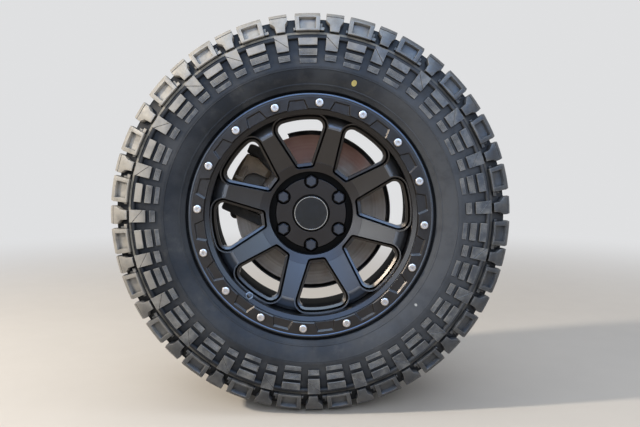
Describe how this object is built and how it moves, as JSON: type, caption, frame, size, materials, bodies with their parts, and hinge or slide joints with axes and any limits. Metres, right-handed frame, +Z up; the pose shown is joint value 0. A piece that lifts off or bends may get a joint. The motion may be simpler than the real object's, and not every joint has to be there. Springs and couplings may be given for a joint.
{
  "type": "off-road wheel and brake assembly",
  "caption": "Off-road tyre on a black spoked wheel with bolted clamp ring, turning on an axle end with brake disc, caliper, dust shield and bearing housing.",
  "frame": {"origin": "centre of the bearing housing flange's inboard face, on the spin axis", "axes": "+Y along the spin axis towards the vehicle, so the street side faces -Y; +Z up; +X to the right of the street view"},
  "size_m": [0.833, 0.316, 0.8328],
  "materials": {
    "tyre_rubber": "dusty moulded rubber",
    "wheel_black": "satin black paint",
    "ring_black": "satin black paint",
    "bright_bolts": "bright zinc plate",
    "valve_metal": "bright plated brass",
    "nut_black": "black plated steel",
    "plain_steel": "bare steel",
    "cap_black": "black moulding",
    "cap_trim": "polished trim",
    "forged_steel": "bare forged steel with light rust",
    "disc_iron": "swept iron with rust",
    "shield_black": "dusty black sheet",
    "bracket_iron": "dark cast iron",
    "caliper_olive": "olive-brown plating with dust",
    "pad_lining": "pressed friction lining",
    "boot_rubber": "black rubber"
  },
  "bodies": {
    "axle_end": {"bearing_housing": "forged_steel", "hub_bearing": "plain_steel", "dust_shield": "shield_black", "caliper_bracket": "bracket_iron", "bracket_bolts": "plain_steel", "caliper_body": "caliper_olive", "caliper_piston": "plain_steel", "brake_pad_outer": "pad_lining", "brake_pad_inner": "pad_lining", "guide_pins": "plain_steel", "guide_boots": "boot_rubber"},
    "wheel": {"tyre": "tyre_rubber", "wheel_hub": "wheel_black", "wheel_spokes": "wheel_black", "wheel_barrel": "wheel_black", "clamp_ring": "ring_black", "ring_bolts": "bright_bolts", "valve_stem": "valve_metal", "lug_nuts": "nut_black", "wheel_studs": "plain_steel", "centre_cap": "cap_black", "cap_trim_ring": "cap_trim", "hub_flange": "forged_steel", "brake_disc": "disc_iron"}
  },
  "joints": [
    {"name": "wheel_spin", "type": "hinge", "parent": "axle_end", "child": "wheel", "pos_m": [0, -0.094, 0], "axis": [0, 1, 0], "continuous": true}
  ]
}
